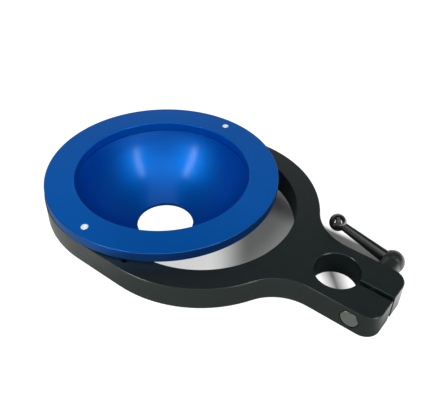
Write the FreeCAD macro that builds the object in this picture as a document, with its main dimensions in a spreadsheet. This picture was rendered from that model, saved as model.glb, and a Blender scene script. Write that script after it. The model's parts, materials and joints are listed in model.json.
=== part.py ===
import FreeCAD, Part
import Sketcher
import math
import os

# Column bracket with a two-position opening, a drop-in spherical bowl and a lever-locked split clamp.
# Frame: origin on the axis of the column bore at the plate's mid-thickness, +Z up along the column,
# +X from the ring towards the split end of the clamp, so the bowl hangs at -X. Millimetres.

DIMENSIONS = [
    # ring plate and clamp head
    ("plate_thickness", 20.8),
    ("ring_radius", 97.4),
    ("opening_radius", 78.3),
    ("opening_shift", 45.7),
    ("reach", 127.0),
    ("neck_radius", 40.0),
    ("clamp_half_width", 26.8),
    ("clamp_end", 44.3),
    ("corner_radius", 11.7),
    ("column_radius", 17.5),
    ("kerf_width", 3.8),
    ("edge_break", 0.5),
    # bowl and its two locating pins
    ("bowl_offset", 42.5),
    ("station_pitch", 41.0),
    ("flange_radius", 98.3),
    ("flange_thickness", 9.4),
    ("mouth_radius", 73.7),
    ("register_depth", 0.8),
    ("register_clearance", 0.1),
    ("sphere_radius", 77.5),
    ("shell_wall", 3.0),
    ("drain_radius", 25.3),
    ("rim_break", 0.4),
    ("pin_circle_radius", 88.6),
    ("pin_radius", 3.0),
    ("pin_length", 17.0),
    ("pin_recess", 0.15),
    ("pin_break", 0.4),
    ("pin_hole_clearance", 0.05),
    ("pin_hole_depth", 11.0),
    # clamp bolt and thrust washer
    ("bolt_offset", 25.0),
    ("bolt_radius", 4.0),
    ("bolt_length", 60.0),
    ("bolt_end_break", 1.0),
    ("bolt_hole_radius", 4.3),
    ("head_flats", 13.0),
    ("head_height", 5.3),
    ("head_recess", 0.3),
    ("head_break", 0.7),
    ("head_pocket_gap", 0.45),
    ("washer_radius", 8.0),
    ("washer_hole_radius", 4.2),
    ("washer_thickness", 1.6),
    # clamp lever
    ("hub_height", 15.1),
    ("hub_radius", 9.2),
    ("hub_collar_radius", 8.0),
    ("hub_base_break", 0.6),
    ("hub_flat", 7.4),
    ("hub_thread_clearance", 0.05),
    ("hub_thread_depth", 11.6),
    ("arm_root_radius", 5.2),
    ("arm_tip_radius", 3.5),
    ("arm_root_spigot_radius", 3.0),
    ("arm_root_spigot_start", 1.6),
    ("arm_tip_spigot_radius", 2.0),
    ("arm_tip_spigot_length", 6.4),
    ("spigot_end_gap", 0.4),
    ("knob_distance", 50.6),
    ("knob_radius", 7.0),
    ("knob_flat", 6.0),
    ("insert_radius", 3.2),
    ("insert_length", 7.2),
    ("lever_rise", 14.6),  # degrees that the arm stands above the plate's plane
]

OVERCUT = 1.0  # how far a cutting outline runs past the face it cuts, in millimetres
SLIGHT = 1e-6  # lengths under this are taken as zero
LEAST_CUT = 1e-3  # a pocket that takes away less than this, in cubic millimetres, has missed

doc = FreeCAD.newDocument("bowl_bracket")
sheet = doc.addObject("Spreadsheet::Sheet", "dims")
for row, (alias, number) in enumerate(DIMENSIONS, start=1):
    sheet.set("A%d" % row, alias)
    sheet.set("B%d" % row, str(number))
    sheet.setAlias("B%d" % row, alias)
doc.recompute()


class Size:
    """A length that knows both its value and the sheet expression that gives it."""

    def __init__(self, value, text):
        self.value = value
        self.text = text

    def joined(self, other, sign, value):
        return Size(value, "(%s %s %s)" % (self.text, sign, other.text))

    def __add__(self, other):
        other = as_size(other)
        return self.joined(other, "+", self.value + other.value)

    def __sub__(self, other):
        other = as_size(other)
        return self.joined(other, "-", self.value - other.value)

    def __mul__(self, other):
        other = as_size(other)
        return self.joined(other, "*", self.value * other.value)

    def __truediv__(self, other):
        other = as_size(other)
        return self.joined(other, "/", self.value / other.value)

    def __neg__(self):
        return Size(-self.value, "(0 - %s)" % self.text)

    def root(self):
        return Size(math.sqrt(self.value), "sqrt(%s)" % self.text)


def as_size(number):
    return number if isinstance(number, Size) else Size(float(number), str(float(number)))


def other_leg(hypotenuse, leg):
    """The third side of a right-angled triangle."""
    return (hypotenuse * hypotenuse - leg * leg).root()


d = {alias: Size(number, "dims." + alias) for alias, number in DIMENSIONS}
ZERO = as_size(0)


# ---------------------------------------------------------------- sketch and feature helpers

def new_body(name):
    body = doc.addObject("PartDesign::Body", name)
    body.Label = name
    return body


def new_sketch(body, name, plane="XZ_Plane", offset=ZERO):
    """A sketch on one of the body's own origin planes, moved along its normal by offset."""
    sketch = body.newObject("Sketcher::SketchObject", name)
    support = [f for f in body.Origin.OriginFeatures if f.Role == plane][0]
    sketch.AttachmentSupport = [(support, "")]
    sketch.MapMode = "FlatFace"
    if offset.value:
        sketch.AttachmentOffset = FreeCAD.Placement(FreeCAD.Vector(0, 0, offset.value), FreeCAD.Rotation())
        sketch.setExpression("AttachmentOffset.Base.z", offset.text)
    return sketch


def vector(x, y):
    return FreeCAD.Vector(x.value, y.value, 0)


def fix_size(sketch, kind, *where, size):
    """Add one driving constraint and bind it to its sheet expression."""
    index = sketch.addConstraint(Sketcher.Constraint(kind, *where, size.value))
    sketch.setExpression("Constraints[%d]" % index, size.text)


def fix_coordinate(sketch, edge, end, letter, x, y):
    """Hold the X or the Y of one point of an edge, from the sketch's origin."""
    size = x if letter == "X" else y
    if size.value:
        fix_size(sketch, "Distance" + letter, -1, 1, edge, end, size=size)
    else:
        axis = -2 if letter == "X" else -1
        sketch.addConstraint(Sketcher.Constraint("PointOnObject", edge, end, axis))


def fix_point(sketch, edge, end, x, y):
    """Hold one end of an edge at (x, y)."""
    fix_coordinate(sketch, edge, end, "X", x, y)
    fix_coordinate(sketch, edge, end, "Y", x, y)


def add_circle(sketch, x, y, radius):
    edge = sketch.addGeometry(Part.Circle(vector(x, y), FreeCAD.Vector(0, 0, 1), radius.value), False)
    fix_size(sketch, "Radius", edge, size=radius)
    fix_point(sketch, edge, 3, x, y)


def add_profile(sketch, points, arcs=()):
    """A closed outline through the points. Segment i runs from point i to the next one; in arcs it maps to
    (centre x, centre y, turn), turn +1 for a counterclockwise arc, and the arc's centre is fixed too."""
    arcs = dict(arcs)
    count = len(points)
    for i, here in enumerate(points):
        there = points[(i + 1) % count]
        if i in arcs:
            cx, cy, turn = arcs[i]
            angles = [math.atan2(p[1].value - cy.value, p[0].value - cx.value) for p in (here, there)]
            if turn < 0:
                angles.reverse()
            if angles[1] < angles[0]:
                angles[1] += 2 * math.pi
            radius = math.hypot(here[0].value - cx.value, here[1].value - cy.value)
            circle = Part.Circle(vector(cx, cy), FreeCAD.Vector(0, 0, 1), radius)
            sketch.addGeometry(Part.ArcOfCircle(circle, *angles), False)
        else:
            sketch.addGeometry(Part.LineSegment(vector(*here), vector(*there)), False)
    starts = [2 if i in arcs and arcs[i][2] < 0 else 1 for i in range(count)]
    for i in range(count):
        after = (i + 1) % count
        sketch.addConstraint(Sketcher.Constraint("Coincident", i, 3 - starts[i], after, starts[after]))
        fix_point(sketch, i, starts[i], *points[i])
    for i, (cx, cy, _) in arcs.items():
        # the two ends leave the centre free along their bisector, so one coordinate of it is enough
        chord = vector(*points[(i + 1) % count]) - vector(*points[i])
        fix_coordinate(sketch, i, 3, "X" if abs(chord.y) >= abs(chord.x) else "Y", cx, cy)


def pad(body, sketch, length, midplane=False, reverse=False):
    feature = body.newObject("PartDesign::Pad", sketch.Name + "_pad")
    feature.Profile = sketch
    feature.Midplane = midplane
    feature.Reversed = reverse
    feature.Length = length.value
    feature.setExpression("Length", length.text)
    doc.recompute()


def pocket(body, sketch, length=None, reverse=False):
    """A pocket of the given depth, or right through both ways when no length is given."""
    before = body.Shape.Volume
    feature = body.newObject("PartDesign::Pocket", sketch.Name + "_pocket")
    feature.Profile = sketch
    feature.Reversed = reverse
    if length is None:
        feature.Type = "ThroughAll"
        feature.Midplane = True
    else:
        feature.Length = length.value
        feature.setExpression("Length", length.text)
    doc.recompute()
    if body.Shape.Volume > before - LEAST_CUT:
        raise RuntimeError(sketch.Name + " cuts nothing")


def revolve(body, sketch, axis="V_Axis"):
    feature = body.newObject("PartDesign::Revolution", sketch.Name + "_turned")
    feature.Profile = sketch
    feature.ReferenceAxis = (sketch, [axis])
    feature.Angle = 360
    doc.recompute()


def turned(name, points, arcs=(), axis="V_Axis"):
    """A turned piece: its half section in the body's XZ plane, spun about Z (V_Axis) or X (H_Axis)."""
    body = new_body(name)
    sketch = new_sketch(body, name + "_section")
    add_profile(sketch, points, arcs)
    revolve(body, sketch, axis)
    return body


def chamfer(body, edges, size):
    base = body.Tip
    feature = body.newObject("PartDesign::Chamfer", body.Name + "_chamfer")
    feature.Base = (base, edges)
    feature.Size = size.value
    feature.setExpression("Size", size.text)
    doc.recompute()


def place(body, x, y, z, rotation=None):
    body.Placement = FreeCAD.Placement(FreeCAD.Vector(x.value, y.value, z.value), rotation or FreeCAD.Rotation())
    for axis, size in (("x", x), ("y", y), ("z", z)):
        body.setExpression("Placement.Base." + axis, size.text)


# ---------------------------------------------------------------- ring plate with its split clamp head

def add_stadium(sketch, right_x, shift, radius):
    """Two half circles, their centres shift apart along X, joined by straight sides."""
    left_x = right_x - shift
    points = [(right_x, radius), (left_x, radius), (left_x, -radius), (right_x, -radius)]
    add_profile(sketch, points, {1: (left_x, ZERO, 1), 3: (right_x, ZERO, 1)})


def make_ring_bracket():
    body = new_body("ring_bracket")
    ring_x = -d["reach"]
    half_width = d["clamp_half_width"]

    blank = new_sketch(body, "ring_blank", "XY_Plane")
    add_stadium(blank, ring_x, d["opening_shift"], d["ring_radius"])
    pad(body, blank, d["plate_thickness"], midplane=True)

    # the neck's concave sides are tangent to the ring's circle and to the clamp head's sides
    arm = new_sketch(body, "clamp_arm", "XY_Plane")
    neck_y = half_width + d["neck_radius"]
    span = d["ring_radius"] + d["neck_radius"]
    neck_x = ring_x + other_leg(span, neck_y)
    share = d["ring_radius"] / span
    touch_x = ring_x + (neck_x - ring_x) * share
    touch_y = neck_y * share
    corner_x = d["clamp_end"] - d["corner_radius"]
    corner_y = half_width - d["corner_radius"]
    points = [
        (touch_x, touch_y), (touch_x, -touch_y), (neck_x, -half_width), (corner_x, -half_width),
        (d["clamp_end"], -corner_y), (d["clamp_end"], corner_y), (corner_x, half_width), (neck_x, half_width),
    ]
    arcs = {
        1: (neck_x, -neck_y, -1), 3: (corner_x, -corner_y, 1),
        5: (corner_x, corner_y, 1), 7: (neck_x, neck_y, -1),
    }
    add_profile(arm, points, arcs)
    pad(body, arm, d["plate_thickness"], midplane=True)

    opening = new_sketch(body, "bowl_opening", "XY_Plane")
    add_stadium(opening, ring_x, d["opening_shift"], d["opening_radius"])
    pocket(body, opening)

    bore = new_sketch(body, "column_bore", "XY_Plane")
    add_circle(bore, ZERO, ZERO, d["column_radius"])
    pocket(body, bore)

    kerf = new_sketch(body, "clamp_kerf", "XY_Plane")
    half_kerf = d["kerf_width"] / 2
    beyond = d["clamp_end"] + OVERCUT
    add_profile(kerf, [(ZERO, -half_kerf), (beyond, -half_kerf), (beyond, half_kerf), (ZERO, half_kerf)])
    pocket(body, kerf)

    # the edges left by the outline, opening, bore and kerf are broken before the small holes are drilled
    faces = d["plate_thickness"].value / 2
    rims = [
        "Edge%d" % (i + 1) for i, edge in enumerate(body.Shape.Edges)
        if edge.BoundBox.ZLength < SLIGHT and abs(abs(edge.BoundBox.ZMin) - faces) < SLIGHT
    ]
    chamfer(body, rims, d["edge_break"])

    bolt_hole = new_sketch(body, "bolt_hole")
    add_circle(bolt_hole, d["bolt_offset"], ZERO, d["bolt_hole_radius"])
    pocket(body, bolt_hole)

    # the XZ plane's normal points to -Y, so this sketch lies on the head's side of the clamp
    head_pocket = new_sketch(body, "head_pocket", offset=half_width)
    add_hexagon(head_pocket, d["bolt_offset"], d["head_flats"] / 2 + d["head_pocket_gap"])
    pocket(body, head_pocket, d["head_height"] + d["head_recess"])

    pin_holes = new_sketch(body, "pin_holes", "XY_Plane", d["plate_thickness"] / 2)
    first_x = ring_x - d["bowl_offset"]
    for station_x in (first_x, first_x + d["station_pitch"]):
        for pin_y in (d["pin_circle_radius"], -d["pin_circle_radius"]):
            add_circle(pin_holes, station_x, pin_y, d["pin_radius"] + d["pin_hole_clearance"])
    pocket(body, pin_holes, d["pin_hole_depth"])


def add_hexagon(sketch, x, half_flats):
    """A regular hexagon about (x, 0) with two corners on the X axis."""
    corner = half_flats * (2 / math.sqrt(3))
    half = corner / 2
    points = [
        (x + corner, ZERO), (x + half, half_flats), (x - half, half_flats),
        (x - corner, ZERO), (x - half, -half_flats), (x + half, -half_flats),
    ]
    add_profile(sketch, points)


# ---------------------------------------------------------------- bowl: flange ring, spherical shell, pins

def place_on_ring(body):
    """The bowl's own frame lies on its axis, with z = 0 on the flange's underside, where it meets the plate."""
    place(body, -d["reach"] - d["bowl_offset"], ZERO, d["plate_thickness"] / 2)


def make_bowl_flange():
    edge = d["rim_break"]
    mouth = d["mouth_radius"]
    outside = d["flange_radius"]
    top = d["flange_thickness"]
    register = shell_rim_radius() + d["register_clearance"]
    body = turned("bowl_flange", [
        (mouth, d["register_depth"]), (register, d["register_depth"]), (register, ZERO),
        (outside - edge, ZERO), (outside, edge), (outside, top - edge), (outside - edge, top),
        (mouth + edge, top), (mouth, top - edge),
    ])
    holes = new_sketch(body, "pin_seats", "XY_Plane")
    for pin_y in (d["pin_circle_radius"], -d["pin_circle_radius"]):
        add_circle(holes, ZERO, pin_y, d["pin_radius"])
    pocket(body, holes)
    place_on_ring(body)


def sphere_height():
    """Height of the shell's centre over its rim plane, where the inner sphere meets the mouth's bore."""
    return other_leg(d["sphere_radius"], d["mouth_radius"])


def shell_rim_radius():
    return other_leg(d["sphere_radius"] + d["shell_wall"], sphere_height())


def make_bowl_shell():
    rim = d["register_depth"]
    centre = rim + sphere_height()
    inner = d["sphere_radius"]
    outer = inner + d["shell_wall"]
    drain = d["drain_radius"]
    inner_foot = centre - other_leg(inner, drain)
    outer_foot = centre - other_leg(outer, drain)
    body = turned(
        "bowl_shell",
        [(d["mouth_radius"], rim), (drain, inner_foot), (drain, outer_foot), (shell_rim_radius(), rim)],
        {0: (ZERO, centre, -1), 2: (ZERO, centre, 1)},
    )
    place_on_ring(body)


def make_locating_pins():
    """Two parallel pins pressed into the flange from above; their lower ends stand in the plate's holes."""
    top = d["flange_thickness"] - d["pin_recess"]
    foot = top - d["pin_length"]
    radius = d["pin_radius"]
    edge = d["pin_break"]
    section = [
        (ZERO, foot), (radius - edge, foot), (radius, foot + edge),
        (radius, top - edge), (radius - edge, top), (ZERO, top),
    ]
    for name, side in (("locating_pin_front", -1), ("locating_pin_rear", 1)):
        body = turned(name, section)
        pin_y = d["pin_circle_radius"] * side
        place(body, -d["reach"] - d["bowl_offset"], pin_y, d["plate_thickness"] / 2)


# ---------------------------------------------------------------- clamp bolt and thrust washer

ALONG_Y = FreeCAD.Rotation(FreeCAD.Vector(1, 0, 0), -90)  # turns a piece's own Z to +Y


def make_clamp_bolt():
    """Hex head at the -Y side; the shank runs along the piece's own Z, which is turned to +Y."""
    body = new_body("clamp_bolt")
    seat = d["head_height"] + d["head_recess"] - d["clamp_half_width"]
    head = new_sketch(body, "bolt_head", "XY_Plane", seat)
    add_hexagon(head, ZERO, d["head_flats"] / 2)
    pad(body, head, d["head_height"], reverse=True)

    # the head's outer face is turned down to a cone that just clears the flats' middles
    face = seat - d["head_height"]
    flats = d["head_flats"] / 2
    corner = flats * (2 / math.sqrt(3))
    trim = new_sketch(body, "head_chamfer")
    outside = corner + OVERCUT
    slope = d["head_break"] * (outside - flats) / (corner - flats)
    add_profile(trim, [(flats, face), (outside, face), (outside, face + slope)])
    groove = body.newObject("PartDesign::Groove", "head_chamfer_groove")
    groove.Profile = trim
    groove.ReferenceAxis = (trim, ["V_Axis"])
    groove.Angle = 360
    doc.recompute()

    shank = new_sketch(body, "bolt_shank")
    radius = d["bolt_radius"]
    end = seat + d["bolt_length"]
    lead = d["bolt_end_break"]
    inside = seat - OVERCUT
    add_profile(shank, [
        (ZERO, inside), (radius, inside), (radius, end - lead), (radius - lead, end), (ZERO, end),
    ])
    revolve(body, shank)
    place(body, d["bolt_offset"], ZERO, ZERO, ALONG_Y)


def make_thrust_washer():
    low = d["clamp_half_width"]
    high = low + d["washer_thickness"]
    hole = d["washer_hole_radius"]
    body = turned("thrust_washer", [
        (hole, low), (d["washer_radius"], low), (d["washer_radius"], high), (hole, high),
    ])
    place(body, d["bolt_offset"], ZERO, ZERO, ALONG_Y)


# ---------------------------------------------------------------- clamp lever: hub, arm, ball knob, insert

def place_on_lever(body):
    """The lever's frame: origin at the hub's centre, its own Z along the bolt and its own X along the arm."""
    rise = math.radians(d["lever_rise"].value)
    arm = FreeCAD.Vector(-math.cos(rise), 0, math.sin(rise))
    bolt = FreeCAD.Vector(0, 1, 0)
    turn = FreeCAD.Rotation(arm, bolt.cross(arm), bolt, "ZXY")
    hub_y = d["clamp_half_width"] + d["washer_thickness"] + d["hub_height"]
    place(body, d["bolt_offset"], hub_y, ZERO, turn)


def make_lever_hub():
    collar = d["hub_collar_radius"]
    base = -d["hub_height"]
    edge = d["hub_base_break"]
    thread = d["bolt_radius"] + d["hub_thread_clearance"]
    bottom = base + d["hub_thread_depth"]
    neck = -other_leg(d["hub_radius"], collar)
    body = turned(
        "lever_hub",
        [(ZERO, bottom), (thread, bottom), (thread, base), (collar - edge, base), (collar, base + edge),
         (collar, neck), (ZERO, d["hub_radius"])],
        {5: (ZERO, ZERO, 1)},
    )
    # a flat is milled on the ball for the arm's shoulder, with a bored socket for its spigot
    flat = new_sketch(body, "arm_flat", "YZ_Plane", d["hub_flat"])
    add_circle(flat, ZERO, ZERO, d["hub_radius"])
    pocket(body, flat, d["hub_radius"] - d["hub_flat"] + OVERCUT, reverse=True)
    socket = new_sketch(body, "arm_socket", "YZ_Plane", d["hub_flat"])
    add_circle(socket, ZERO, ZERO, d["arm_root_spigot_radius"])
    pocket(body, socket, d["hub_flat"] - d["arm_root_spigot_start"] + d["spigot_end_gap"])
    place_on_lever(body)


def make_lever_arm():
    inner = d["arm_root_spigot_radius"]
    outer = d["arm_tip_spigot_radius"]
    shoulder = d["knob_distance"] - d["knob_flat"]
    end = shoulder + d["arm_tip_spigot_length"]
    body = turned(
        "lever_arm",
        [(d["arm_root_spigot_start"], ZERO), (end, ZERO), (end, outer), (shoulder, outer),
         (shoulder, d["arm_tip_radius"]), (d["hub_flat"], d["arm_root_radius"]), (d["hub_flat"], inner),
         (d["arm_root_spigot_start"], inner)],
        axis="H_Axis",
    )
    place_on_lever(body)


def make_ball_knob():
    centre = d["knob_distance"]
    radius = d["knob_radius"]
    face = centre - d["knob_flat"]
    rim = other_leg(radius, d["knob_flat"])
    seat = d["insert_radius"]
    floor = face + d["insert_length"]
    body = turned(
        "ball_knob",
        [(floor, ZERO), (centre + radius, ZERO), (face, rim), (face, seat), (floor, seat)],
        {1: (centre, ZERO, 1)},
        axis="H_Axis",
    )
    place_on_lever(body)


def make_knob_insert():
    face = d["knob_distance"] - d["knob_flat"]
    floor = face + d["insert_length"]
    bore = d["arm_tip_spigot_radius"]
    cup = face + d["arm_tip_spigot_length"] + d["spigot_end_gap"]
    body = turned(
        "knob_insert",
        [(cup, ZERO), (floor, ZERO), (floor, d["insert_radius"]), (face, d["insert_radius"]),
         (face, bore), (cup, bore)],
        axis="H_Axis",
    )
    place_on_lever(body)


# ---------------------------------------------------------------- build, check and write

make_ring_bracket()
make_bowl_flange()
make_bowl_shell()
make_locating_pins()
make_clamp_bolt()
make_thrust_washer()
make_lever_hub()
make_lever_arm()
make_ball_knob()
make_knob_insert()
doc.recompute()

for item in doc.Objects:
    if {"Invalid", "Error"} & set(item.State):
        raise RuntimeError("%s did not recompute: %s" % (item.Name, item.State))

bodies = [item for item in doc.Objects if item.TypeId == "PartDesign::Body"]
for body in bodies:
    shape = body.Shape
    if shape.isNull() or not shape.isValid() or len(shape.Solids) != 1:
        raise RuntimeError(body.Label + " is not one valid solid")

os.makedirs("parts", exist_ok=True)
for body in bodies:
    body.Shape.exportStep(os.path.join("parts", body.Label + ".step"))
    box = body.Shape.BoundBox
    print("%-20s %9.1f mm3  %s" % (body.Label, body.Shape.Volume, box))
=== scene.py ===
import json
import math
import bpy
import numpy as np
from mathutils import Matrix, Quaternion, Vector


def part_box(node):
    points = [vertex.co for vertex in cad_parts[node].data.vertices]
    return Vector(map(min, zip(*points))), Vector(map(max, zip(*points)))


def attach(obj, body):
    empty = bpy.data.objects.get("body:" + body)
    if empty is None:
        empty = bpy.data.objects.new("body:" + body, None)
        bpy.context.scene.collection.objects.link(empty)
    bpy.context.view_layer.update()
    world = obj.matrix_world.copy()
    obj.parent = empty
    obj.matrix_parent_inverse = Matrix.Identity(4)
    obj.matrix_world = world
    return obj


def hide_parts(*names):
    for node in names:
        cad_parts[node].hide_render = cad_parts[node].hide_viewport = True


# Column bracket with a drop-in spherical bowl and a lever-locked split clamp. Metres, in the CAD's own frame:
# the origin is on the column's axis at the plate's mid-thickness, +Z up along the column, the bowl at -X.
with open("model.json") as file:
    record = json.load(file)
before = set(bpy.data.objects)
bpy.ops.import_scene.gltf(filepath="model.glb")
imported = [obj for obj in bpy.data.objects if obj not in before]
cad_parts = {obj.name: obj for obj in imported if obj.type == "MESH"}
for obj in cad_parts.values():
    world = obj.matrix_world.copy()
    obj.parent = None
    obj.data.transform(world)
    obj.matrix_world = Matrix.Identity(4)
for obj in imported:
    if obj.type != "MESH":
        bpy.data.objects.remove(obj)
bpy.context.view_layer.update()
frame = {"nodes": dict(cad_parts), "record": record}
mounts = {mount["name"]: mount for mount in frame["record"]["mounts"]}
MM = 0.001

# ---------------------------------------------------------------- camera
# It looks down across the clamp head at the bowl, and is turned about a degree on its own axis.
view_azimuth, view_elevation, view_roll = (math.radians(angle) for angle in (37.21, 40.44, 0.98))
view_target = Vector((-0.1327, 0.0259, -0.0104))
view_distance = 0.5215
back = Vector((math.sin(view_azimuth) * math.cos(view_elevation),
               -math.cos(view_azimuth) * math.cos(view_elevation), math.sin(view_elevation)))
level_right = Vector((math.cos(view_azimuth), math.sin(view_azimuth), 0))
right = math.cos(view_roll) * level_right + math.sin(view_roll) * back.cross(level_right)
camera_data = bpy.data.cameras.new("camera")
camera_data.lens = 49.67
camera_data.clip_start = 0.01
camera = bpy.data.objects.new("camera", camera_data)
axes = Matrix((right, back.cross(right), back)).transposed().to_4x4()
camera.matrix_world = Matrix.Translation(view_target + view_distance * back) @ axes
bpy.context.scene.collection.objects.link(camera)
bpy.context.scene.camera = camera
bpy.context.scene.view_settings.view_transform = "Standard"


# ---------------------------------------------------------------- studio light
# Two tall strip lamps stand left and right of the camera, and a large soft one hangs high in front. The room
# is dim above and pale near the horizon; past the table the camera sees white paper.
def add_lamp(name, place, aim, width, height, power, roll=0.0, tint=(1, 1, 1)):
    """A rectangular soft light that stands at a place, shines at another and is rolled about that line."""
    data = bpy.data.lights.new(name, "AREA")
    data.shape = "RECTANGLE"
    data.size, data.size_y = width, height
    data.energy = power
    data.color = tint
    lamp = bpy.data.objects.new(name, data)
    lamp.location = place
    facing = (Vector(place) - Vector(aim)).to_track_quat("Z", "Y")
    lamp.rotation_euler = (facing @ Quaternion((0, 0, 1), math.radians(roll))).to_euler()
    bpy.context.scene.collection.objects.link(lamp)


def add_node(tree, kind, inputs=None, **settings):
    """Adds a shader node; an input given as a socket is linked, any other value is set."""
    node = tree.nodes.new(kind)
    for name, value in settings.items():
        setattr(node, name, value)
    for name, value in (inputs or {}).items():
        if isinstance(value, bpy.types.NodeSocket):
            tree.links.new(value, node.inputs[name])
        else:
            node.inputs[name].default_value = value
    return node


def maths(tree, operation, *terms):
    """The output of one Math node on sockets or numbers."""
    node = add_node(tree, "ShaderNodeMath", operation=operation)
    for socket, term in zip(node.inputs, terms):
        if isinstance(term, bpy.types.NodeSocket):
            tree.links.new(term, socket)
        else:
            socket.default_value = term
    return node.outputs[0]


middle = Vector((-0.11, 0.0, 0.0))
strip_tint = (1.0, 1.07, 0.95)
add_lamp("lamp_left", (-0.236, -0.376, 0.292), middle, 0.06, 0.34, 1.75, roll=14, tint=strip_tint)
add_lamp("lamp_right", (0.67, -0.08, 0.64), middle, 0.12, 0.70, 6.2, roll=-14, tint=strip_tint)
add_lamp("lamp_over", (0.13, -0.31, 1.3), middle, 0.9, 2.0, 8.2)

world = bpy.data.worlds.new("studio")
bpy.context.scene.world = world
world.use_nodes = True
sky = world.node_tree
direction = add_node(sky, "ShaderNodeTexCoord").outputs["Generated"]
height = add_node(sky, "ShaderNodeSeparateXYZ", {"Vector": direction}).outputs["Z"]
pale_horizon = add_node(sky, "ShaderNodeMapRange", {
    "Value": height, "From Min": 0.45, "From Max": 0.67, "To Min": 1.40, "To Max": 0.01}).outputs["Result"]
# the wall beyond the part and the one behind the camera are pale, the side walls are dark
depthwise = add_node(sky, "ShaderNodeVectorMath", operation="DOT_PRODUCT")
sky.links.new(direction, depthwise.inputs[0])
depthwise.inputs[1].default_value = (math.sin(view_azimuth), -math.cos(view_azimuth), 0)
toward = depthwise.outputs["Value"]
end_walls = maths(sky, "MULTIPLY_ADD", maths(sky, "MULTIPLY", toward, toward), 0.9, 0.1)
glow = maths(sky, "MULTIPLY", pale_horizon, end_walls)
room = add_node(sky, "ShaderNodeBackground", {"Strength": glow}).outputs["Background"]
paper = add_node(sky, "ShaderNodeBackground", {"Color": (1, 1, 1, 1)}).outputs["Background"]
seen = add_node(sky, "ShaderNodeLightPath").outputs["Is Camera Ray"]
both = add_node(sky, "ShaderNodeMixShader")
sky.links.new(seen, both.inputs[0])
sky.links.new(room, both.inputs[1])
sky.links.new(paper, both.inputs[2])
sky.links.new(both.outputs[0], sky.nodes["World Output"].inputs["Surface"])


# ---------------------------------------------------------------- table
# White paper on a table. The part lies tipped on it, on the drain rim's edge and the clamp's end, so it slopes
# in this frame. Its painted glow and the painted shade under the part are placed for this camera, and only
# camera
# rays see them: the part does not cast them.
def make_object(name, points, faces):
    """A linked object at the origin whose mesh has the given points and faces."""
    mesh = bpy.data.meshes.new(name)
    mesh.from_pydata(points, [], faces)
    thing = bpy.data.objects.new(name, mesh)
    bpy.context.scene.collection.objects.link(thing)
    return thing


def new_material(name, **values):
    """A material and its node tree; the values are set on the Principled shader's own sockets."""
    material = bpy.data.materials.new(name)
    material.use_nodes = True
    shader = material.node_tree.nodes["Principled BSDF"]
    for socket, value in values.items():
        shader.inputs[socket.replace("_", " ")].default_value = value
    return material, material.node_tree, shader


plate_low, plate_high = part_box("ring_bracket")
shell_low, shell_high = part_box("bowl_shell")
flange_low, flange_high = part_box("bowl_flange")
bowl_x = mounts["bowl_mouth"]["pos_m"][0]
drain_radius = mounts["drain_hole"]["dims"]["r_mm"] * MM
ring_radius = plate_high.y
drain_foot = Vector((bowl_x + drain_radius, 0, shell_low.z))
clamp_foot = Vector((plate_high.x, 0, plate_low.z))
slope = (clamp_foot.z - drain_foot.z) / (clamp_foot.x - drain_foot.x)
run = (clamp_foot - drain_foot).normalized()
table_half = 3.0
corners = [drain_foot + run * a * table_half + Vector((0, b * table_half, 0))
           for a, b in ((-1, -1), (1, -1), (1, 1), (-1, 1))]
table = make_object("table", corners, [(0, 1, 2, 3)])
paper_white, tree, shader = new_material("paper_white", Roughness=0.9)
shader.inputs["Base Color"].default_value = (0.2, 0.2, 0.2, 1)
shader.inputs["Specular IOR Level"].default_value = 0.1
shader.inputs["Emission Color"].default_value = (1, 1, 1, 1)
place = add_node(tree, "ShaderNodeSeparateXYZ", {
    "Vector": add_node(tree, "ShaderNodeTexCoord").outputs["Object"]}).outputs
# the painted shade leans away from the lamps by how high the plate's underside stands over the paper
lean = slope / math.tan(view_elevation)
gap = maths(tree, "SUBTRACT", plate_high.x, place["X"])
shade_x = maths(tree, "MULTIPLY_ADD", gap, lean * math.sin(view_azimuth), place["X"])
shade_y = maths(tree, "MULTIPLY_ADD", gap, -lean * math.cos(view_azimuth), place["Y"])


def capsule_distance(tree, x, y, left, right_end, middle_y, radius):
    """Distance outside a capsule: to the nearest point of a segment along X, less the radius."""
    nearest = maths(tree, "MINIMUM", maths(tree, "MAXIMUM", x, left), right_end)
    across = maths(tree, "SUBTRACT", x, nearest)
    aside = maths(tree, "SUBTRACT", y, middle_y)
    squares = maths(tree, "MULTIPLY_ADD", across, across, maths(tree, "MULTIPLY", aside, aside))
    return maths(tree, "SUBTRACT", maths(tree, "SQRT", squares), radius)


# painted shade: pools under the ring, the clamp and the lever; outside them the paper is painted to glow white
ring_left, ring_right = plate_low.x + ring_radius, -0.127
under_ring = capsule_distance(tree, shade_x, shade_y, ring_left, ring_right, 0.0, ring_radius)
under_clamp = capsule_distance(tree, shade_x, shade_y, -0.06, 0.015, 0.0, 0.024)
under_lever = capsule_distance(tree, shade_x, shade_y, -0.038, 0.006, 0.037, 0.024)
outside = maths(tree, "MINIMUM", maths(tree, "MINIMUM", under_ring, under_clamp), under_lever)
painted_glow = add_node(tree, "ShaderNodeMapRange", {
    "Value": outside, "From Min": -0.006, "From Max": -0.0005,
    "To Min": 0.0, "To Max": 1.0}, clamp=True).outputs["Result"]
# painted light: the paper seen through the drain hole is painted bright
drain_x = bowl_x - 0.005
by_drain = capsule_distance(tree, place["X"], place["Y"], drain_x, drain_x, 0.006, drain_radius)
in_drain = maths(tree, "LESS_THAN", by_drain, 0.004)


def smooth(value, start, end, low=0.0, high=1.0):
    """Eases from the low number to the high one while the value goes from start to end."""
    return add_node(tree, "ShaderNodeMapRange", {
        "Value": value, "From Min": start, "From Max": end, "To Min": low, "To Max": high},
        interpolation_type="SMOOTHSTEP").outputs["Result"]
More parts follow.
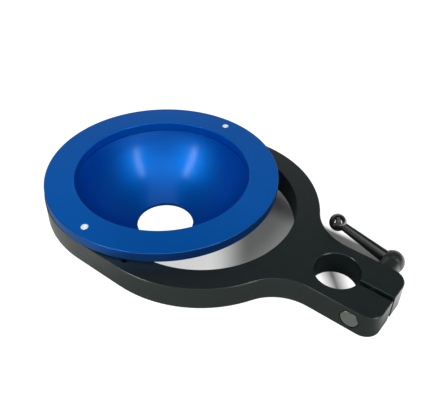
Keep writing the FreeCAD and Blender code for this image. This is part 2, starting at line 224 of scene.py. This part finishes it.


# painted light: under the opening a painted streak of light comes in from the bowl's near side and fades
# toward the clamp; a little painted light comes back from the neck's side
toward_light = maths(tree, "MULTIPLY_ADD", place["X"], -0.8, maths(tree, "MULTIPLY", place["Y"], -0.6))
painted_streak = maths(tree, "MULTIPLY", smooth(toward_light, 0.060, 0.096, 0.0, 0.54),
               smooth(toward_light, 0.15, 0.18, 1.0, 0.0))
painted_streak = maths(tree, "MULTIPLY", painted_streak, smooth(place["Y"], -0.100, -0.060))
painted_streak = maths(tree, "MULTIPLY", painted_streak, smooth(place["Y"], 0.020, 0.050, 1.0, 0.0))
painted_spill = maths(tree, "MULTIPLY", smooth(place["X"], -0.088, -0.058, 0.07, 0.17),
              smooth(place["Y"], 0.055, 0.078, 1.0, 0.0))
under_opening = maths(tree, "MULTIPLY", maths(tree, "ADD", painted_streak, painted_spill),
                      maths(tree, "LESS_THAN", place["X"], -0.05))
# painted light and shadow: under the bore the sheet is painted bright on both sides of a painted shadow of the
# clamp's slot
across_slot = maths(tree, "MULTIPLY_ADD", place["Y"], 0.93, maths(tree, "SUBTRACT", place["X"], 0.0077))
beside_slot = maths(tree, "MULTIPLY_ADD", maths(tree, "ABSOLUTE", across_slot), 60.0, 0.10)
by_bore = capsule_distance(tree, place["X"], place["Y"], -0.004, -0.004, 0.014, 0.022)
under_bore = maths(tree, "MULTIPLY", beside_slot, maths(tree, "LESS_THAN", by_bore, 0.0))
lit = maths(tree, "MAXIMUM", maths(tree, "MAXIMUM", painted_glow, in_drain),
            maths(tree, "MAXIMUM", under_opening, under_bore))
# only camera rays see the painted light and shade
rays = add_node(tree, "ShaderNodeLightPath").outputs
straight = maths(tree, "MULTIPLY", maths(tree, "MINIMUM", lit, 1.0), rays["Is Camera Ray"])
# painted reflection: mirror rays alone see a painted bright sheet beyond both ends of the part
sideways = maths(tree, "MULTIPLY_ADD", place["X"], math.cos(view_azimuth),
                 maths(tree, "MULTIPLY", place["Y"], math.sin(view_azimuth)))
both_ends = maths(tree, "ADD", smooth(sideways, 0.02, 0.09, 0.0, 3.6),
                  smooth(sideways, -0.19, -0.25, 0.0, 0.5))
painted_reflection = maths(tree, "MULTIPLY", maths(tree, "MULTIPLY", both_ends, painted_glow), rays["Is Glossy Ray"])
tree.links.new(maths(tree, "ADD", straight, painted_reflection), shader.inputs["Emission Strength"])
# from below the paper is clear, so the part's underside can be looked at
clear = add_node(tree, "ShaderNodeBsdfTransparent").outputs[0]
behind = add_node(tree, "ShaderNodeNewGeometry").outputs["Backfacing"]
sheet_mix = add_node(tree, "ShaderNodeMixShader")
tree.links.new(behind, sheet_mix.inputs[0])
tree.links.new(shader.outputs[0], sheet_mix.inputs[1])
tree.links.new(clear, sheet_mix.inputs[2])
tree.links.new(sheet_mix.outputs[0], tree.nodes["Material Output"].inputs["Surface"])
table.data.materials.append(paper_white)


# ---------------------------------------------------------------- ring bracket
# One plate of aluminium, milled all over and black anodised: a ring with a long opening, a waisted neck and a
# split clamp head bored for the column. The milled faces keep fine cutter lines; the outer wall is painted
# paler as painted light from the bright paper around it.
def noise(tree, where, scale, detail=3.0, stretch=(1, 1, 1), turn_z=0.0):
    """A noise value in 0..1 on a vector; stretch multiplies the pattern's frequency along each axis."""
    if stretch != (1, 1, 1) or turn_z:
        where = add_node(tree, "ShaderNodeMapping", {
            "Vector": where, "Scale": stretch, "Rotation": (0, 0, turn_z)}).outputs[0]
    return add_node(tree, "ShaderNodeTexNoise", {
        "Vector": where, "Scale": scale, "Detail": detail, "Roughness": 0.55}).outputs["Fac"]


def between(tree, amount, low, high):
    """Maps a value in 0..1 to a number between low and high, or a colour between two colours."""
    if isinstance(low, tuple):
        node = add_node(tree, "ShaderNodeMix", data_type="RGBA")
        node.inputs[6].default_value = (*low, 1)
        node.inputs[7].default_value = (*high, 1)
        tree.links.new(amount, node.inputs[0])
        return node.outputs[2]
    return add_node(tree, "ShaderNodeMapRange", {
        "Value": amount, "From Min": 0.3, "From Max": 0.7, "To Min": low, "To Max": high}).outputs["Result"]


def bump(tree, shader, height, depth, strength=1.0):
    """Wires a height in 0..1 as relief of the given depth in metres."""
    node = add_node(tree, "ShaderNodeBump", {"Height": height, "Distance": depth, "Strength": strength})
    tree.links.new(node.outputs[0], shader.inputs["Normal"])


black_anodised, tree, shader = new_material("black_anodised")
coords = add_node(tree, "ShaderNodeTexCoord").outputs["Object"]
cutter = noise(tree, coords, 60.0, 4.0, stretch=(1.0, 22.0, 6.0), turn_z=math.radians(8))
grain = noise(tree, coords, 1600.0, 2.0)
cloud = noise(tree, coords, 18.0, 3.0)
facing = add_node(tree, "ShaderNodeSeparateXYZ", {
    "Vector": add_node(tree, "ShaderNodeNewGeometry").outputs["True Normal"]}).outputs["Z"]
tilt = maths(tree, "ABSOLUTE", facing)
top_tone = between(tree, maths(tree, "MULTIPLY_ADD", cutter, 0.5, maths(tree, "MULTIPLY", cloud, 0.5)),
                   (0.0030, 0.0056, 0.0070), (0.0065, 0.0100, 0.0118))
# painted light and shade: the outer wall is painted paler than the faces, and the inner walls of the opening,
# bore and slot keep the faces' dark tone as painted shade
where = add_node(tree, "ShaderNodeSeparateXYZ", {"Vector": coords}).outputs
opening_radius, column_radius = 78.3 * MM, 17.5 * MM
off_opening = capsule_distance(tree, where["X"], where["Y"], ring_left, ring_right, 0.0, opening_radius)
off_bore = capsule_distance(tree, where["X"], where["Y"], 0.0, 0.0, 0.0, column_radius)
off_kerf = capsule_distance(tree, where["X"], where["Y"], 0.0, plate_high.x - 0.004, 0.0, 0.002)
inner = maths(tree, "MINIMUM", maths(tree, "MINIMUM", off_opening, off_bore), off_kerf)
painted_light_outer_wall = maths(tree, "MULTIPLY", maths(tree, "GREATER_THAN", inner, 0.0012),
                maths(tree, "LESS_THAN", tilt, 0.3))
tones = add_node(tree, "ShaderNodeMix", data_type="RGBA")
tree.links.new(painted_light_outer_wall, tones.inputs[0])
tree.links.new(top_tone, tones.inputs[6])
tree.links.new(between(tree, grain, (0.016, 0.021, 0.021), (0.024, 0.030, 0.030)), tones.inputs[7])
tree.links.new(tones.outputs[2], shader.inputs["Base Color"])
tree.links.new(between(tree, cutter, 0.31, 0.40), shader.inputs["Roughness"])
shader.inputs["Specular IOR Level"].default_value = 0.35
relief = maths(tree, "MULTIPLY_ADD", cutter, 0.5, maths(tree, "MULTIPLY", grain, 0.5))
bump(tree, shader, relief, 0.00002)
plate = frame["nodes"]["ring_bracket"]
plate.data.materials.clear()
plate.data.materials.append(black_anodised)


# ---------------------------------------------------------------- bowl flange
# A ring turned from aluminium plate and anodised blue. A shallow register takes the shell's rim, with a fine
# joint groove under the mouth's lip. The lower outer edge is chamfered; the pins stand in seats in its face.
def soften(corners, radii, closed, steps=6):
    """Rounds a section's corners. At each corner a circle of its radius touches both sides; its arc is
    sampled at equal angles and keeps the circle's own normals. The solid lies left of the way of travel."""
    corners = np.asarray(corners, float)
    points, normals = [], []
    count = len(corners)
    for i, (corner, radius) in enumerate(zip(corners, radii)):
        before = corner - corners[i - 1]
        after = corners[(i + 1) % count] - corner
        if not closed and i == 0:
            before = after
        if not closed and i == count - 1:
            after = before
        start = math.atan2(before[1], before[0])
        bend = math.remainder(math.atan2(after[1], after[0]) - start, math.tau)
        heading = start + bend * (np.linspace(0, 1, steps) if radius else np.array([0.5]))
        normal = np.stack([np.sin(heading), -np.cos(heading)], 1)
        side = math.copysign(1, bend)
        away = np.array([-math.sin(start + bend / 2), math.cos(start + bend / 2)])
        centre = corner + side * away * radius / math.cos(bend / 2)
        points.append(centre + side * radius * normal)
        normals.append(normal)
    return np.concatenate(points), np.concatenate(normals)


def close_grid(name, grid, lengths, normals=None, ring=True):
    """A closed mesh from a grid of points (rows, sectors, 3) that wraps round its sectors. On a ring the
    rows wrap too; otherwise the first and last are one point each. UV: turns round, metres along the rows."""
    rows, sectors = grid.shape[:2]
    row = np.arange(rows if ring else rows - 1)[:, None]
    col = np.arange(sectors)[None, :]
    after_row, after_col = (row + 1) % rows, (col + 1) % sectors
    quads = np.stack(np.broadcast_arrays(row * sectors + col, row * sectors + after_col,
                                         after_row * sectors + after_col, after_row * sectors + col), -1)
    thing = make_object(name, grid.reshape(-1, 3).tolist(), quads.reshape(-1, 4).tolist())
    mesh = thing.data
    turns = np.stack(np.broadcast_arrays(col, col + 1, col + 1, col, row * 0), -1)[..., :4] / sectors
    far = np.append(lengths, lengths[-1] + (lengths[1] - lengths[0]))[row + 1]
    near = lengths[row]
    along = np.stack(np.broadcast_arrays(near, near, far, far, col * 0.0), -1)[..., :4]
    layer = mesh.uv_layers.new(name="surface")
    layer.data.foreach_set("uv", np.stack([turns, along], -1).astype(np.float32).ravel())
    mesh.polygons.foreach_set("use_smooth", np.ones(len(mesh.polygons), bool))
    if normals is not None:
        mesh.normals_split_custom_set_from_vertices(normals.reshape(-1, 3).tolist())
    return thing


def turned_piece(name, section, radii, origin, axis=(0, 0, 1), ring=True, sectors=128, own_normals=True):
    """A turned surface: each point (r, h) of the rounded section is carried round the axis w through the
    origin, to origin + r (u cos a + v sin a) + h w."""
    points, flat_normals = soften(section, radii, closed=ring)
    w = np.array(axis, float) / np.linalg.norm(axis)
    u = np.array((1.0, 0, 0)) if abs(w[0]) < 0.9 else np.array((0, 1.0, 0))
    u = np.cross(np.cross(w, u), w)
    u /= np.linalg.norm(u)
    v = np.cross(w, u)
    angle = np.arange(sectors) * math.tau / sectors
    outward = np.cos(angle)[:, None] * u + np.sin(angle)[:, None] * v
    grid = points[:, 0, None, None] * outward + points[:, 1, None, None] * w + np.array(origin)
    normals = flat_normals[:, 0, None, None] * outward + flat_normals[:, 1, None, None] * w
    if not ring:
        normals[0], normals[-1] = w * np.sign(flat_normals[0, 1]), w * np.sign(flat_normals[-1, 1])
    steps_along = np.linalg.norm(np.diff(points, axis=0), axis=1)
    lengths = np.append(0, np.cumsum(steps_along))
    return close_grid(name, grid, lengths, normals if own_normals else None, ring)


def stands_for(piece, node, body, material):
    """Fits a finished piece in: its material, the CAD node it shows and the body it rides on."""
    piece.data.materials.append(material)
    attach(piece, body)
    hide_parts(node)


def cut_away(piece, cutter):
    """Takes the cutter's volume out of a piece and removes the cutter; edges over 35 degrees stay sharp."""
    cut = piece.modifiers.new("cut", "BOOLEAN")
    cut.object, cut.operation, cut.solver = cutter, "DIFFERENCE", "EXACT"
    seen = piece.evaluated_get(bpy.context.evaluated_depsgraph_get())
    piece.data = bpy.data.meshes.new_from_object(seen)
    piece.modifiers.clear()
    bpy.data.objects.remove(cutter)
    piece.data.set_sharp_from_angle(angle=math.radians(35))


def blue_finish(name, dark, light, rim_wall, smoothest, roughest, metal, coat, glint):
    """Blue dyed anodising over turned aluminium; two blues and two roughnesses bound its variation. The third
    blue is the one of the ring's outer wall."""
    material, tree, shader = new_material(
        name, Metallic=metal, Coat_Weight=coat, Coat_Roughness=0.19, Anisotropic=0.4)
    shader.inputs["Specular IOR Level"].default_value = 0.9
    shader.inputs["Specular Tint"].default_value = (*glint, 1)
    coords = add_node(tree, "ShaderNodeTexCoord").outputs
    lathe_lines = noise(tree, coords["UV"], 1.0, 3.0, stretch=(0.5, 5200.0, 1.0))
    fine = noise(tree, coords["Object"], 2600.0, 2.0)
    cloud = noise(tree, coords["Object"], 24.0, 3.0)
    mixed = maths(tree, "MULTIPLY_ADD", cloud, 0.6, maths(tree, "MULTIPLY", lathe_lines, 0.4))
    where = add_node(tree, "ShaderNodeSeparateXYZ", {"Vector": coords["Object"]}).outputs
    off_wall = capsule_distance(tree, where["X"], where["Y"], bowl_x, bowl_x, 0.0, flange_radius - 0.6 * MM)
    blues = add_node(tree, "ShaderNodeMix", data_type="RGBA")
    tree.links.new(maths(tree, "GREATER_THAN", off_wall, 0.0), blues.inputs[0])
    tree.links.new(between(tree, mixed, dark, light), blues.inputs[6])
    blues.inputs[7].default_value = (*rim_wall, 1)
    tree.links.new(blues.outputs[2], shader.inputs["Base Color"])
    tree.links.new(between(tree, lathe_lines, smoothest, roughest), shader.inputs["Roughness"])
    tangent = add_node(tree, "ShaderNodeTangent", direction_type="UV_MAP", uv_map="surface")
    tree.links.new(tangent.outputs[0], shader.inputs["Tangent"])
    relief = maths(tree, "MULTIPLY_ADD", lathe_lines, 0.6, maths(tree, "MULTIPLY", fine, 0.4))
    bump(tree, shader, relief, 0.000012)
    return material


flange_radius = (flange_high.y - flange_low.y) / 2
outer_wall_blue = (0.010, 0.066, 0.30)
blue_ring = blue_finish(
    "blue_anodised_ring", (0.0003, 0.098, 0.49), (0.0005, 0.113, 0.54), outer_wall_blue, 0.36, 0.44,
    metal=0.7, coat=0.09, glint=(0.05, 0.6, 0.7))
# painted shade: the cup's blues are set darker than the ring's, standing in for the shade inside the bowl
blue_cup_painted_shade = blue_finish(
    "blue_anodised_cup", (0.0001, 0.047, 0.34), (0.0002, 0.057, 0.385), (0.0003, 0.042, 0.27), 0.40, 0.48,
    metal=0.65, coat=0.15, glint=(0.02, 1.0, 0.6))

mouth = mounts["bowl_mouth"]["dims"]["r_mm"] * MM
rim = shell_high.z
shell_rim = (shell_high.y - shell_low.y) / 2
register = shell_rim + 0.1 * MM
joint_height, joint_depth, chamfer = 0.8 * MM, 1.0 * MM, 1.2 * MM
section = [
    (flange_radius - chamfer, flange_low.z), (flange_radius, flange_low.z + chamfer),
    (flange_radius, flange_high.z), (mouth, flange_high.z),
    (mouth, rim + joint_height), (mouth + joint_depth, rim + joint_height), (mouth + joint_depth, rim),
    (register, rim), (register, flange_low.z),
]
radii = [0.2 * MM, 0.2 * MM, 0.5 * MM, 0.45 * MM, 0.15 * MM, 0.1 * MM, 0.02 * MM, 0.05 * MM, 0.1 * MM]
held_section, held_radii = [], []
for i, (corner, radius) in enumerate(zip(section, radii)):
    # a plain point close to both sides of every rounded corner keeps the long faces flat in shading
    corner, before, after = (np.array(section[k % len(section)]) for k in (i, i - 1, i + 1))
    gap = 2.5 * radius
    held_section += [corner + (before - corner) / np.linalg.norm(before - corner) * gap, corner,
                     corner + (after - corner) / np.linalg.norm(after - corner) * gap]
    held_radii += [0, radius, 0]
flange = turned_piece("blue_flange_ring", held_section, held_radii, (bowl_x, 0, 0), sectors=256,
                      own_normals=False)
for side in ("front", "rear"):
    low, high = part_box("locating_pin_" + side)
    seat = (high.x - low.x) / 2
    face = flange_high.z
    cutter = turned_piece("pin_seat", [
        (0, low.z), (seat, low.z), (seat, face - 0.3 * MM), (seat + 0.5 * MM, face + 0.2 * MM),
        (seat + 0.5 * MM, face + MM), (0, face + MM)], [0] * 6,
        ((low.x + high.x) / 2, (low.y + high.y) / 2, 0), ring=False, sectors=64, own_normals=False)
    cut_away(flange, cutter)
stands_for(flange, "bowl_flange", "bowl", blue_ring)


# ---------------------------------------------------------------- bowl shell
# A spun and turned spherical cup with a 3 mm wall, anodised blue and seated in the flange's register; its blue
# is set darker than the flange's as painted shade inside the bowl. A round drain is bored through the floor
# and its edge deburred.
depth = rim - shell_low.z
centre_rise = (shell_rim ** 2 - drain_radius ** 2 - depth ** 2) / (2 * depth)
outer_radius = math.hypot(shell_rim, centre_rise)
inner_radius = math.hypot(mouth, centre_rise)


def sphere_run(radius, low_edge, high_edge, count=56):
    """Points of a sphere's section from one distance off its axis to another, at equal angles."""
    angle = np.linspace(math.asin(low_edge / radius), math.asin(high_edge / radius), count)
    return np.stack([radius * np.sin(angle), rim + centre_rise - radius * np.cos(angle)], 1)


outer_run = sphere_run(outer_radius, drain_radius, shell_rim)
inner_run = sphere_run(inner_radius, mouth, drain_radius)
section = np.concatenate([outer_run, inner_run])
radii = np.zeros(len(section))
radii[0], radii[len(outer_run) - 1] = 0.3 * MM, 0.15 * MM
radii[len(outer_run)], radii[-1] = 0.2 * MM, 0.4 * MM
shell = turned_piece("blue_bowl_shell", section, radii, (bowl_x, 0, 0), sectors=224)
stands_for(shell, "bowl_shell", "bowl", blue_cup_painted_shade)


# ---------------------------------------------------------------- locating pins
# Two ground steel pins, 6 mm across, pressed through the flange into holes of the plate. Their upper ends lie
# just below the flange's face, and keep the small centre-drill dimple that they were ground on.
pin_steel, tree, shader = new_material("pin_steel", Metallic=0.55)
coords = add_node(tree, "ShaderNodeTexCoord")
ground = noise(tree, coords.outputs["UV"], 1.0, 2.0, stretch=(3.0, 9000.0, 1.0))
tree.links.new(between(tree, ground, (0.80, 0.81, 0.82), (0.92, 0.92, 0.92)), shader.inputs["Base Color"])
tree.links.new(between(tree, ground, 0.32, 0.5), shader.inputs["Roughness"])
bump(tree, shader, ground, 0.000008)

for side in ("front", "rear"):
    low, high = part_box("locating_pin_" + side)
    radius = (high.x - low.x) / 2
    section = [(0, low.z), (radius, low.z), (radius, high.z), (0.9 * MM, high.z), (0, high.z - 0.7 * MM)]
    radii = [0, 0.5 * MM, 0.4 * MM, 0.1 * MM, 0]
    axis_point = ((low.x + high.x) / 2, (low.y + high.y) / 2, 0)
    pin = turned_piece("dowel_pin_" + side, section, radii, axis_point, ring=False, sectors=64)
    stands_for(pin, "locating_pin_" + side, "bowl", pin_steel)


# ---------------------------------------------------------------- clamp bolt
# An M8 hexagon bolt, 60 mm under the head, in dull zinc plate. The head's outer face is chamfered to a
# circle. The last 22 mm carry a rolled thread of 1.25 mm pitch with a lead-in at the end.
bolt_steel, tree, shader = new_material("bolt_steel", Metallic=0.8)
coords = add_node(tree, "ShaderNodeTexCoord").outputs["Object"]
speckle = noise(tree, coords, 1500.0, 4.0)
stain = noise(tree, coords, 300.0, 3.0)
tree.links.new(between(tree, maths(tree, "MULTIPLY_ADD", speckle, 0.6, maths(tree, "MULTIPLY", stain, 0.4)),
                       (0.12, 0.126, 0.12), (0.46, 0.475, 0.455)), shader.inputs["Base Color"])
tree.links.new(between(tree, speckle, 0.62, 0.42), shader.inputs["Roughness"])
bump(tree, shader, speckle, 0.00009)

low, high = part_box("clamp_bolt")
bolt_x = (low.x + high.x) / 2
half_flats = 6.5 * MM
shank, pitch, thread_length, lead = 4.0 * MM, 1.25 * MM, 22 * MM, 1.0 * MM
head_height, head_chamfer = 5.3 * MM, 0.7 * MM
sectors = 96
around = np.arange(sectors) * math.tau / sectors
hexagon = half_flats / np.cos(np.mod(around, math.radians(60)) - math.radians(30))
head_seat = low.y + head_height
cone_step = np.linspace(0, 1, 7)
cone = half_flats * (1 + (1 / math.cos(math.radians(30)) - 1) * cone_step)
thread_start = high.y - thread_length
thread_y = np.linspace(thread_start, high.y, int(thread_length / pitch * 8))
heights = np.concatenate([
    [low.y, low.y, low.y], low.y + head_chamfer * cone_step[1:], [head_seat - 0.05 * MM, head_seat],
    [head_seat, head_seat + 0.2 * MM], thread_y, [high.y, high.y]])
limits = np.concatenate([
    [0, half_flats * 0.97, half_flats], cone[1:], [1.0, 1.0],
    [shank + 0.2 * MM, shank], np.full(len(thread_y), shank), [shank - lead, 0]])
reach_out = np.minimum(limits[:, None], hexagon[None, :])
in_thread = (heights >= thread_start) & (limits >= shank * 0.999)
wave = np.mod(heights[:, None] / pitch - around[None, :] / math.tau, 1)
groove = 0.61 * pitch * np.clip(2.3 * (0.5 - np.abs(wave - 0.5)) - 0.1, 0, 1)
fade = np.clip((heights - thread_start) / pitch, 0, 1)[:, None]
reach_out = np.where(in_thread[:, None], reach_out - groove * fade, reach_out)
reach_out = np.minimum(reach_out, np.maximum(shank - lead + (high.y - heights)[:, None], 0)
                       + np.where(heights < thread_start, 1.0, 0.0)[:, None])
reach_out[-1] = 0
grid = np.stack([bolt_x + reach_out * np.cos(around), np.broadcast_to(heights[:, None], reach_out.shape),
                 -reach_out * np.sin(around)], -1)
bolt = close_grid("hex_clamp_bolt", grid, heights - low.y, ring=False)
bolt.data.set_sharp_from_angle(angle=math.radians(22))
stands_for(bolt, "clamp_bolt", "bracket", bolt_steel)


# ---------------------------------------------------------------- thrust washer
# A plain stamped washer between the clamp and the lever's hub. Stamping leaves its edges slightly rounded.
low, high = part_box("thrust_washer")
hole, outside_radius = 4.2 * MM, (high.x - low.x) / 2
section = [(outside_radius, low.y), (outside_radius, high.y), (hole, high.y), (hole, low.y)]
washer = turned_piece("plain_washer", section, [0.25 * MM] * 4, (bolt_x, 0, 0), axis=(0, 1, 0), sectors=96)
stands_for(washer, "thrust_washer", "washer", bolt_steel)


# ---------------------------------------------------------------- lever hub
# The lever's ball-shaped nut, turned from steel and oxide blackened. It is tapped for the bolt, its collar
# runs softly into the ball, and a flat with a socket is cut where the arm screws in. The finish is matt.
hub_black, tree, shader = new_material("hub_blackened", Metallic=0.1, Sheen_Weight=0.08, Sheen_Roughness=0.5)
coords = add_node(tree, "ShaderNodeTexCoord").outputs["Object"]
shader.inputs["Specular IOR Level"].default_value = 0.3
turning = noise(tree, coords, 1.0, 2.0, stretch=(60.0, 2400.0, 60.0))
grain = noise(tree, coords, 1400.0, 3.0)
tree.links.new(between(tree, grain, (0.003, 0.0048, 0.0044), (0.008, 0.0105, 0.0095)),
               shader.inputs["Base Color"])
tree.links.new(between(tree, grain, 0.38, 0.5), shader.inputs["Roughness"])
bump(tree, shader, maths(tree, "MULTIPLY_ADD", turning, 0.4, maths(tree, "MULTIPLY", grain, 0.6)), 0.00003)

low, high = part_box("lever_hub")
hub_radius = (high.z - low.z) / 2
hub_centre = Vector((bolt_x, high.y - hub_radius, (low.z + high.z) / 2))
hub_base = low.y - hub_centre.y
low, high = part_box("ball_knob")
knob_radius = (high.y - low.y) / 2
knob_centre = Vector((low.x + knob_radius, (low.y + high.y) / 2, high.z - knob_radius))
arm_run = (knob_centre - hub_centre).normalized()
shoulder, spigot, spigot_start = 7.4 * MM, 3.0 * MM, 1.6 * MM
collar, tapping, tapped_depth = 8.0 * MM, 4.05 * MM, 11.6 * MM
ball_angle = np.linspace(math.pi - math.asin(collar / hub_radius), 0, 24)
ball_run = hub_radius * np.stack([np.sin(ball_angle), np.cos(ball_angle)], 1)
ball_run[-1, 0] = 0
section = np.concatenate([[
    (0, hub_base + tapped_depth), (tapping, hub_base + tapped_depth), (tapping, hub_base),
    (collar, hub_base)], ball_run])
radii = np.zeros(len(section))
radii[3], radii[4] = 0.8 * MM, 2.6 * MM
hub = turned_piece("ball_nut", section, radii, hub_centre, axis=(0, 1, 0), ring=False, sectors=96,
                   own_normals=False)
socket = turned_piece("arm_socket", [
    (0, spigot_start), (spigot, spigot_start), (spigot, shoulder), (hub_radius, shoulder),
    (hub_radius, 2 * hub_radius), (0, 2 * hub_radius)], [0] * 6, hub_centre, axis=arm_run, ring=False,
    own_normals=False)
cut_away(hub, socket)
stands_for(hub, "lever_hub", "lever", hub_black)


# ---------------------------------------------------------------- lever arm
# A tapered steel rod, polished and blackened to a hard gloss, with a spigot at each end: the thick one is
# screwed into the hub's flat, and the thin one carries the ball knob.
arm_black, tree, shader = new_material("arm_gloss_black", Metallic=0.2, Coat_Weight=0.5, Coat_Roughness=0.06)
coords = add_node(tree, "ShaderNodeTexCoord").outputs["Object"]
peel = noise(tree, coords, 420.0, 2.0)
smear = noise(tree, coords, 90.0, 3.0)
tree.links.new(between(tree, smear, (0.005, 0.006, 0.006), (0.012, 0.014, 0.013)),
               shader.inputs["Base Color"])
tree.links.new(between(tree, smear, 0.14, 0.24), shader.inputs["Roughness"])
bump(tree, shader, peel, 0.000008)

knob_distance = (knob_centre - hub_centre).length
knob_flat = 6.0 * MM
tip = knob_distance - knob_flat
root_radius, tip_radius, tip_spigot, spigot_end = 5.2 * MM, 3.5 * MM, 2.0 * MM, tip + 6.4 * MM
section = [
    (0, spigot_start), (spigot, spigot_start), (spigot, shoulder), (root_radius, shoulder),
    (tip_radius, tip), (tip_spigot, tip), (tip_spigot, spigot_end), (0, spigot_end),
]
radii = [0, 0.3 * MM, 0.1 * MM, 0.35 * MM, 0.25 * MM, 0.1 * MM, 0.3 * MM, 0]
arm = turned_piece("tapered_arm", section, radii, hub_centre, axis=arm_run, ring=False, sectors=96)
stands_for(arm, "lever_arm", "lever", arm_black)


# ---------------------------------------------------------------- ball knob
# A 14 mm ball moulded in black phenolic round a brass insert and polished, with a flat where the arm enters.
knob_black, tree, shader = new_material("knob_black", Coat_Weight=0.3, Coat_Roughness=0.08)
coords = add_node(tree, "ShaderNodeTexCoord").outputs["Object"]
swirl = noise(tree, coords, 160.0, 3.0)
tree.links.new(between(tree, swirl, (0.003, 0.0035, 0.0035), (0.007, 0.0075, 0.0075)),
               shader.inputs["Base Color"])
tree.links.new(between(tree, swirl, 0.16, 0.22), shader.inputs["Roughness"])
bump(tree, shader, swirl, 0.000004)

flat_radius = math.sqrt(knob_radius ** 2 - knob_flat ** 2)
seat_radius, seat_floor = 3.2 * MM, tip + 7.2 * MM
ball_angle = np.linspace(math.atan2(flat_radius, -knob_flat), 0, 48)
ball_run = np.stack([knob_radius * np.sin(ball_angle), knob_distance + knob_radius * np.cos(ball_angle)], 1)
ball_run[-1, 0] = 0
section = np.concatenate([[(0, seat_floor), (seat_radius, seat_floor), (seat_radius, tip)], ball_run])
radii = np.zeros(len(section))
radii[1:4] = 0.1 * MM, 0.1 * MM, 0.15 * MM
knob = turned_piece("round_knob", section, radii, hub_centre, axis=arm_run, ring=False, sectors=96)
stands_for(knob, "ball_knob", "lever", knob_black)


# ---------------------------------------------------------------- knob insert
# A turned brass bush moulded into the ball and bored to take the arm's thin spigot. Nothing of it is seen
# from outside, because the arm's end covers its mouth.
brass, tree, shader = new_material("brass", Metallic=1.0)
coords = add_node(tree, "ShaderNodeTexCoord")
turning = noise(tree, coords.outputs["UV"], 1.0, 2.0, stretch=(2.0, 7000.0, 1.0))
tree.links.new(between(tree, turning, (0.66, 0.45, 0.17), (0.78, 0.57, 0.26)), shader.inputs["Base Color"])
tree.links.new(between(tree, turning, 0.22, 0.36), shader.inputs["Roughness"])
bump(tree, shader, turning, 0.00001)

cup = tip + 6.8 * MM
section = [
    (0, cup), (tip_spigot, cup), (tip_spigot, tip),
    (seat_radius, tip), (seat_radius, seat_floor), (0, seat_floor),
]
radii = [0, 0.05 * MM, 0.15 * MM, 0.2 * MM, 0.2 * MM, 0]
insert = turned_piece("brass_insert", section, radii, hub_centre, axis=arm_run, ring=False, sectors=96)
stands_for(insert, "knob_insert", "lever", brass)
